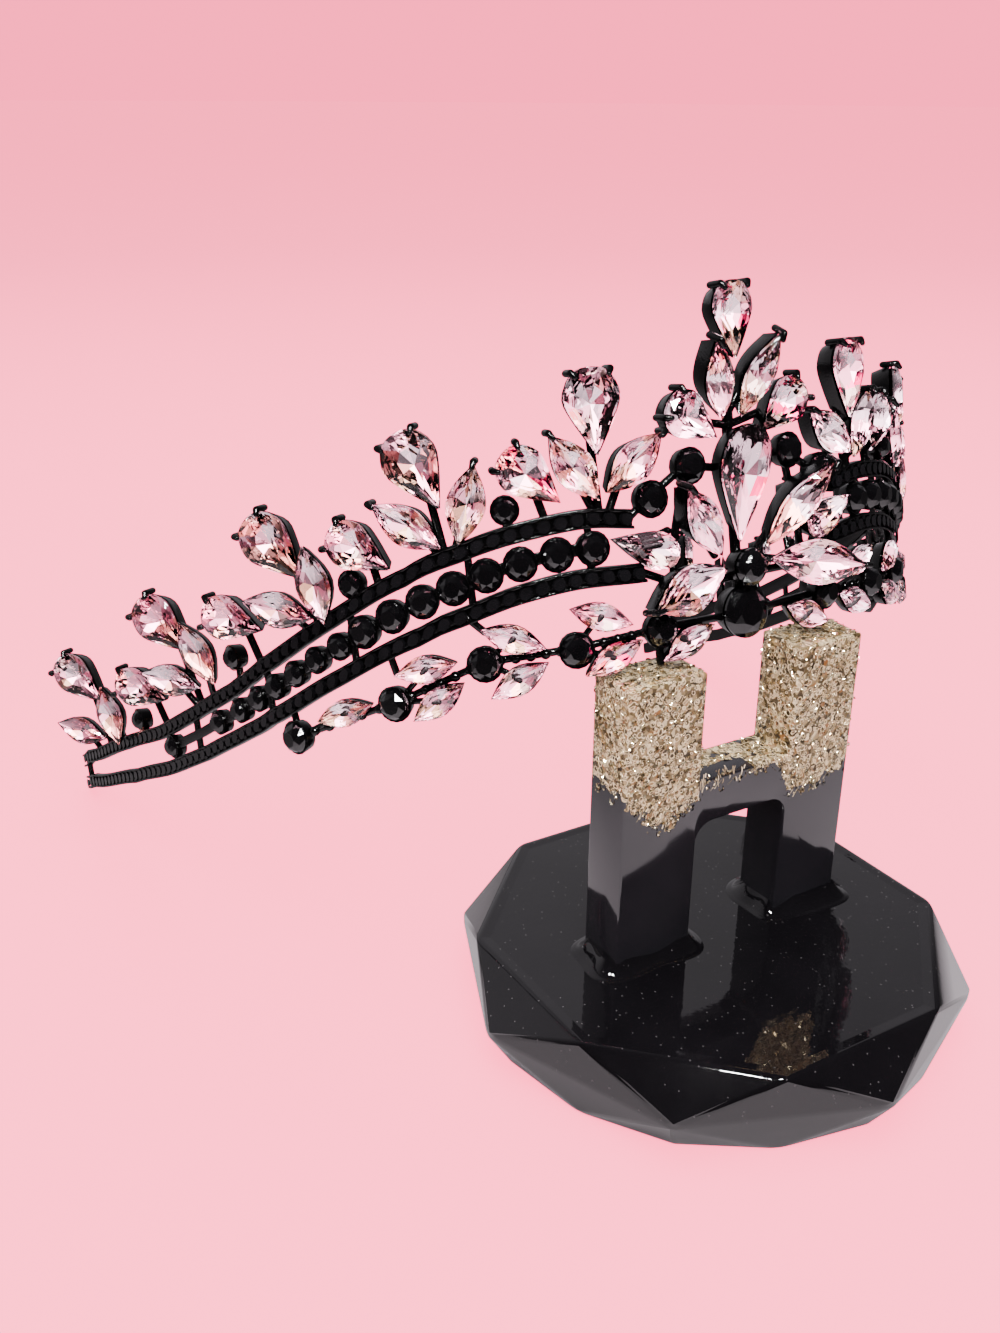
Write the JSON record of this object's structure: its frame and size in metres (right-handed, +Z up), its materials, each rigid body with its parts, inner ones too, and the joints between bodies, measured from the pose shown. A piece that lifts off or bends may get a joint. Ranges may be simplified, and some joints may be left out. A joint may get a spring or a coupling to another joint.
{
  "type": "diadem on two-post display stand",
  "caption": "Rhinestone diadem with leaf and drop shaped crystals on a black openwork frame, leaning on a faceted base with two joined posts.",
  "frame": {"origin": "middle of the stand's foot, on the floor", "axes": "+Z up, -Y towards the viewer in front of the diadem, +X along the width of the two posts to the viewer's right"},
  "size_m": [0.1512, 0.1533, 0.108],
  "materials": {
    "base_resin": "polished cast black resin",
    "post_resin": "cast resin, black below and clear with champagne glitter flakes above",
    "black_metal": "glossy black lacquered alloy",
    "pink_crystal": "pale pink foiled cut glass",
    "black_crystal": "jet black cut glass"
  },
  "bodies": {
    "root": {"stand_base": "base_resin", "stand_posts": "post_resin", "tiara_frame": "black_metal", "top_drop": "pink_crystal", "centre_drop": "pink_crystal", "centre_round_upper": "black_crystal", "centre_round_lower": "black_crystal", "top_leaf_left": "pink_crystal", "top_leaf_right": "pink_crystal", "shoulder_drop_left": "pink_crystal", "shoulder_drop_right": "pink_crystal", "upper_petal_left": "pink_crystal", "upper_petal_right": "pink_crystal", "side_petal_left": "pink_crystal", "side_petal_right": "pink_crystal", "side_drop_left": "pink_crystal", "side_drop_right": "pink_crystal", "crest_drop_1_left": "pink_crystal", "crest_drop_1_right": "pink_crystal", "crest_drop_2_left": "pink_crystal", "crest_drop_2_right": "pink_crystal", "crest_drop_3_left": "pink_crystal", "crest_drop_3_right": "pink_crystal", "crest_drop_4_left": "pink_crystal", "crest_drop_4_right": "pink_crystal", "crest_drop_5_left": "pink_crystal", "crest_drop_5_right": "pink_crystal", "low_drop_1_left": "pink_crystal", "low_drop_1_right": "pink_crystal", "low_drop_2_left": "pink_crystal", "low_drop_2_right": "pink_crystal", "low_drop_3_left": "pink_crystal", "low_drop_3_right": "pink_crystal", "low_drop_4_left": "pink_crystal", "low_drop_4_right": "pink_crystal", "crest_leaf_1_left": "pink_crystal", "crest_leaf_1_right": "pink_crystal", "crest_leaf_2_left": "pink_crystal", "crest_leaf_2_right": "pink_crystal", "crest_leaf_3_left": "pink_crystal", "crest_leaf_3_right": "pink_crystal", "crest_leaf_4_left": "pink_crystal", "crest_leaf_4_right": "pink_crystal", "back_leaves": "pink_crystal", "hanging_leaves": "pink_crystal", "hanging_rounds": "black_crystal", "crest_rounds": "black_crystal", "band_rounds": "black_crystal"}
  },
  "joints": []
}
